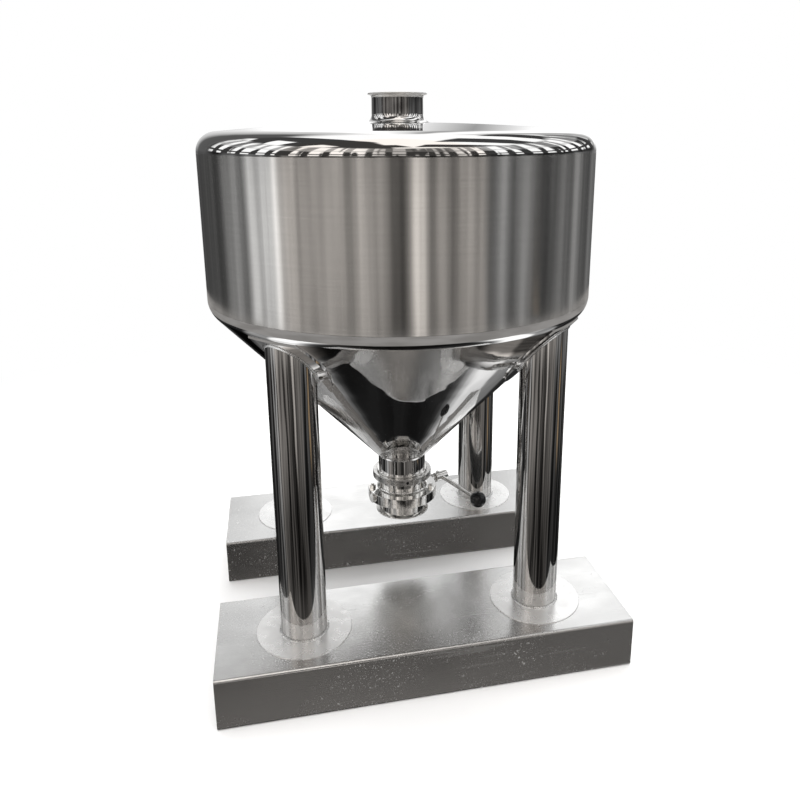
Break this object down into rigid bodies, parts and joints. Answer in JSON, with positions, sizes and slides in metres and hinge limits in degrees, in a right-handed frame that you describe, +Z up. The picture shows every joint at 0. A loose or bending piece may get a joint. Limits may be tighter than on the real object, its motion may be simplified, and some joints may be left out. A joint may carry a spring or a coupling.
{
  "type": "vertical storage tank on four legs and two box beams",
  "caption": "Round stainless storage tank with a dished top, conical bottom, butterfly outlet valve, tube legs and box beam feet.",
  "frame": {"origin": "on the floor, under the middle of the tank", "axes": "+Z up along the tank's axis, X along the two beams, -Y is the side seen nearest with the leg pair front_left and front_right"},
  "size_m": [1.034, 1, 1.433],
  "materials": {
    "brushed_shell": "fine horizontal brushing, satin",
    "mirror_steel": "mirror polished stainless",
    "beam_sheet": "satin sheet with fine scratches, speckles and polished weld zones",
    "valve_steel": "bright machined and polished",
    "seal": "matt pale seal",
    "black_knob": "gloss black moulded ball"
  },
  "bodies": {
    "tank_and_stand": {"tank_shell": "brushed_shell", "top_head": "mirror_steel", "bottom_cone": "mirror_steel", "inlet_neck": "mirror_steel", "inlet_ferrule": "mirror_steel", "outlet_spigot": "mirror_steel", "outlet_ferrule": "mirror_steel", "clamp_half_right": "valve_steel", "clamp_half_left": "valve_steel", "clamp_hinge_pin": "valve_steel", "clamp_wing_bolt": "valve_steel", "valve_body_upper": "valve_steel", "valve_body_lower": "valve_steel", "valve_seat": "seal", "valve_bolt_1": "valve_steel", "valve_bolt_2": "valve_steel", "valve_bolt_3": "valve_steel", "valve_bolt_4": "valve_steel", "valve_nut_1": "valve_steel", "valve_nut_2": "valve_steel", "valve_nut_3": "valve_steel", "valve_nut_4": "valve_steel", "stem_bush": "seal", "leg_front_left": "mirror_steel", "leg_front_right": "mirror_steel", "leg_rear_left": "mirror_steel", "leg_rear_right": "mirror_steel", "saddle_front_left": "mirror_steel", "saddle_front_right": "mirror_steel", "saddle_rear_left": "mirror_steel", "saddle_rear_right": "mirror_steel", "foot_plate_front_left": "beam_sheet", "foot_plate_front_right": "beam_sheet", "foot_plate_rear_left": "beam_sheet", "foot_plate_rear_right": "beam_sheet", "front_beam": "beam_sheet", "front_beam_end_left": "beam_sheet", "front_beam_end_right": "beam_sheet", "rear_beam": "beam_sheet", "rear_beam_end_left": "beam_sheet", "rear_beam_end_right": "beam_sheet"},
    "handle": {"valve_disc": "valve_steel", "handle_hub": "valve_steel", "hub_screw": "valve_steel", "handle_rod": "valve_steel", "handle_knob": "black_knob"}
  },
  "joints": [
    {"name": "handle_turn", "type": "hinge", "parent": "tank_and_stand", "child": "handle", "pos_m": [0, 0, 0.3335], "axis": [0.9205, 0.3907, 0], "range_deg": [0, 90]}
  ]
}
